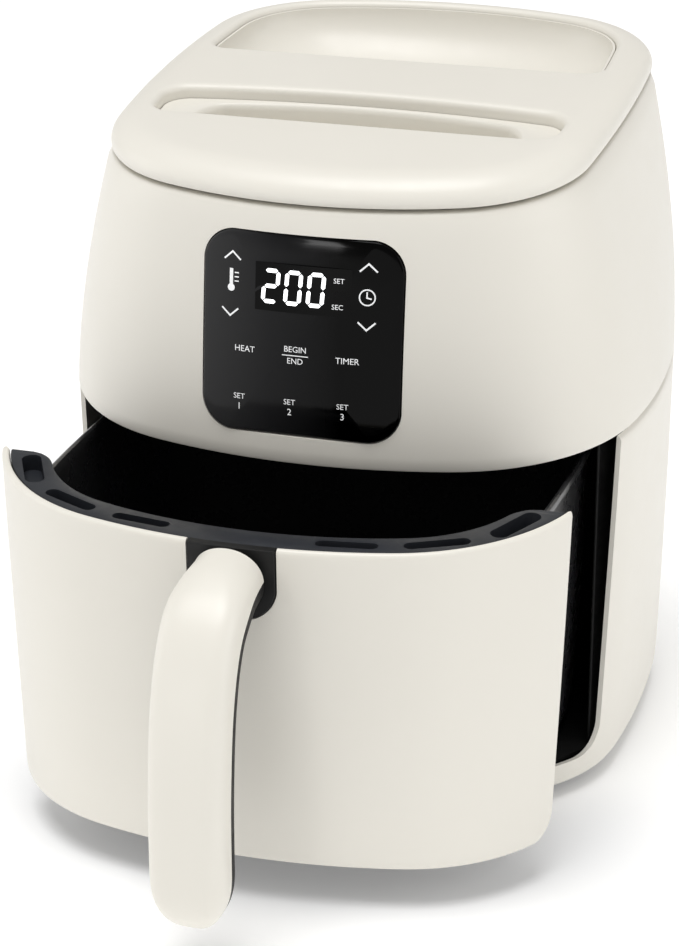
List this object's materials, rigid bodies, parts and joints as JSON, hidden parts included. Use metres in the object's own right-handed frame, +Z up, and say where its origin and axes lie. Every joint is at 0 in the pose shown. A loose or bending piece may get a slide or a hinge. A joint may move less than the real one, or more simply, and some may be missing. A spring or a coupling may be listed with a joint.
{
  "type": "air fryer",
  "caption": "Compact drawer air fryer: cream housing, black glass touch panel, pull-out pan with crisper plate, carrying handle in the lid.",
  "frame": {"origin": "on the ground under the middle of the whole fryer, with the drawer part way out", "axes": "+Z up, the drawer opens towards -Y, x = 0 is the plane of symmetry"},
  "size_m": [0.206, 0.3207, 0.2426],
  "materials": {
    "cream_plastic": "satin moulded plastic",
    "black_plastic": "fine texture",
    "trim_plastic": "satin",
    "panel_gloss": "polished",
    "nonstick": "semi-gloss non-stick coating",
    "rubber": "matt",
    "steel": "plain",
    "galvanised": "galvanised sheet",
    "aluminium": "mill",
    "element": "heat-darkened",
    "circuit_board": "solder mask",
    "fuse_ceramic": "unglazed",
    "switch_red": "plain"
  },
  "bodies": {
    "housing": {"upper_housing": "cream_plastic", "lower_housing": "cream_plastic", "top_cover": "cream_plastic", "handle_grip_liner": "cream_plastic", "handle_bowl": "cream_plastic", "base_plate": "black_plastic", "foot_front_left": "rubber", "foot_screw_front_left": "steel", "foot_rear_left": "rubber", "foot_screw_rear_left": "steel", "foot_front_right": "rubber", "foot_screw_front_right": "steel", "foot_rear_right": "rubber", "foot_screw_rear_right": "steel", "cavity_wall": "black_plastic", "cavity_floor": "black_plastic", "cavity_ceiling": "black_plastic", "left_runner": "steel", "right_runner": "steel", "heating_chamber": "galvanised", "heat_shield": "aluminium", "heating_element": "element", "element_clip_left": "steel", "element_clip_right": "steel", "temperature_probe": "steel", "motor_bracket": "steel", "motor": "galvanised", "motor_screw_left": "steel", "motor_screw_right": "steel", "power_board": "circuit_board", "thermal_fuse": "fuse_ceramic", "control_board": "circuit_board", "display_module": "black_plastic", "control_glass": "panel_gloss", "interlock_switch": "black_plastic", "rear_vent_grille": "black_plastic", "cord_gland": "rubber"},
    "fan": {"motor_shaft": "steel", "convection_fan": "aluminium", "cooling_fan": "black_plastic", "fan_nut": "steel"},
    "drawer": {"drawer_front": "cream_plastic", "handle_bracket": "black_plastic", "pan": "nonstick", "trim_ring": "trim_plastic", "handle_cover": "cream_plastic", "handle_core": "black_plastic", "handle_screw_left": "steel", "handle_screw_right": "steel"},
    "crisper": {"crisper_plate": "nonstick", "crisper_knob": "black_plastic", "crisper_bumper_front_left": "rubber", "crisper_bumper_rear_left": "rubber", "crisper_bumper_front_right": "rubber", "crisper_bumper_rear_right": "rubber"},
    "interlock": {"interlock_plunger": "switch_red"}
  },
  "joints": [
    {"name": "fan_spin", "type": "hinge", "parent": "housing", "child": "fan", "pos_m": [0, 0.0552, 0.15], "axis": [0, 0, 1], "continuous": true},
    {"name": "drawer_slide", "type": "slide", "parent": "housing", "child": "drawer", "axis": [0, -1, 0], "range_m": [-0.068, 0.082]},
    {"name": "crisper_lift", "type": "slide", "parent": "drawer", "child": "crisper", "axis": [0, 0, 1], "range_m": [0, 0.06]},
    {"name": "interlock_press", "type": "slide", "parent": "housing", "child": "interlock", "axis": [0, 0, 1], "range_m": [0, 0.0015], "stiffness_N_per_m": 100}
  ]
}
